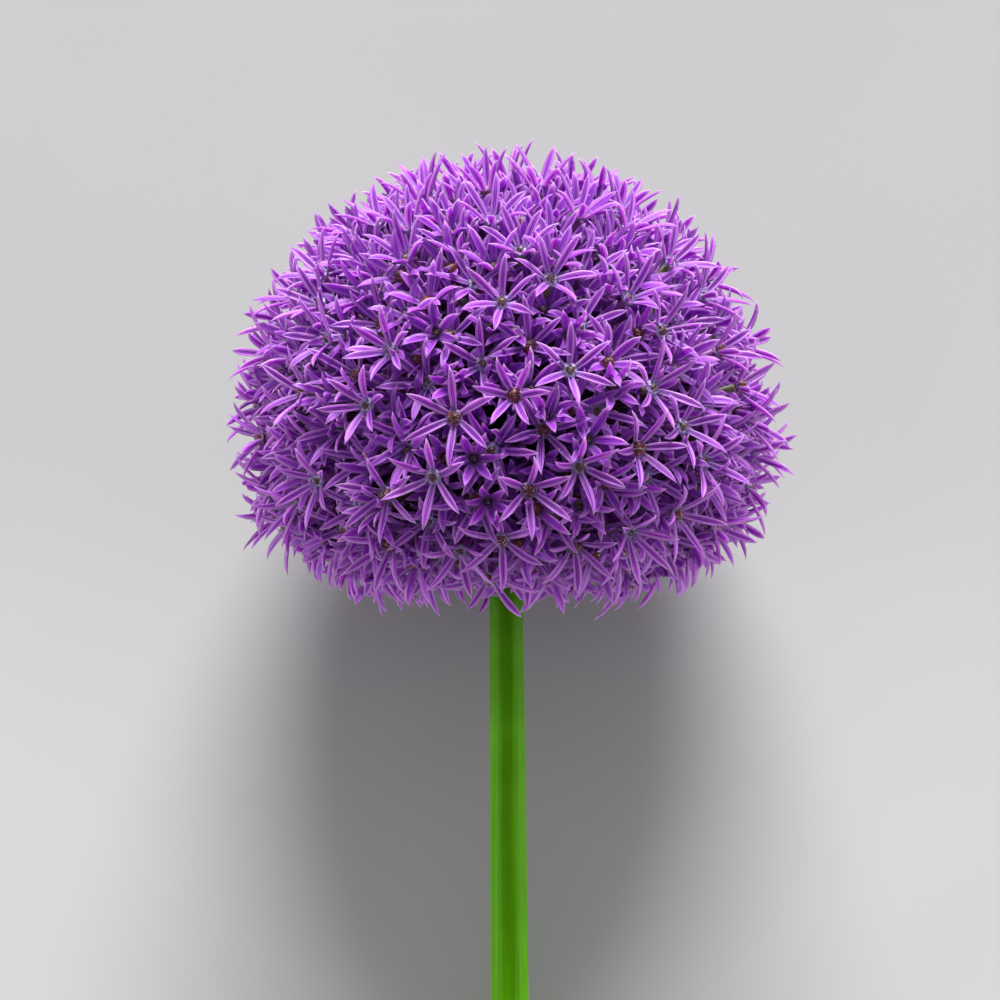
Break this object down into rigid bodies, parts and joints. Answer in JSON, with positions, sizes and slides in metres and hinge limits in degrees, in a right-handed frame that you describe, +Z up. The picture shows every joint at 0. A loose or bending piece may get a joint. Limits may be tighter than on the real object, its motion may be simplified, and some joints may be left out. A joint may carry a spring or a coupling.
{
  "type": "allium flower head",
  "caption": "Ball-shaped ornamental allium head of starry purple florets on radiating pedicels, with the upper part of its green stem, cut and lying on its side.",
  "frame": {"origin": "on the surface that the flower lies on, below the middle of its bounding box", "axes": "+Y along the flower as it lies, from the cut end of the stem to the head; +Z up"},
  "size_m": [0.1186, 0.2024, 0.1133],
  "materials": {
    "stem": "satin",
    "tepals": "satin",
    "pedicels": "satin",
    "ovaries": "satin",
    "stamens": "satin"
  },
  "bodies": {
    "root": {"stem": "stem", "flower_head": "tepals"}
  },
  "joints": []
}
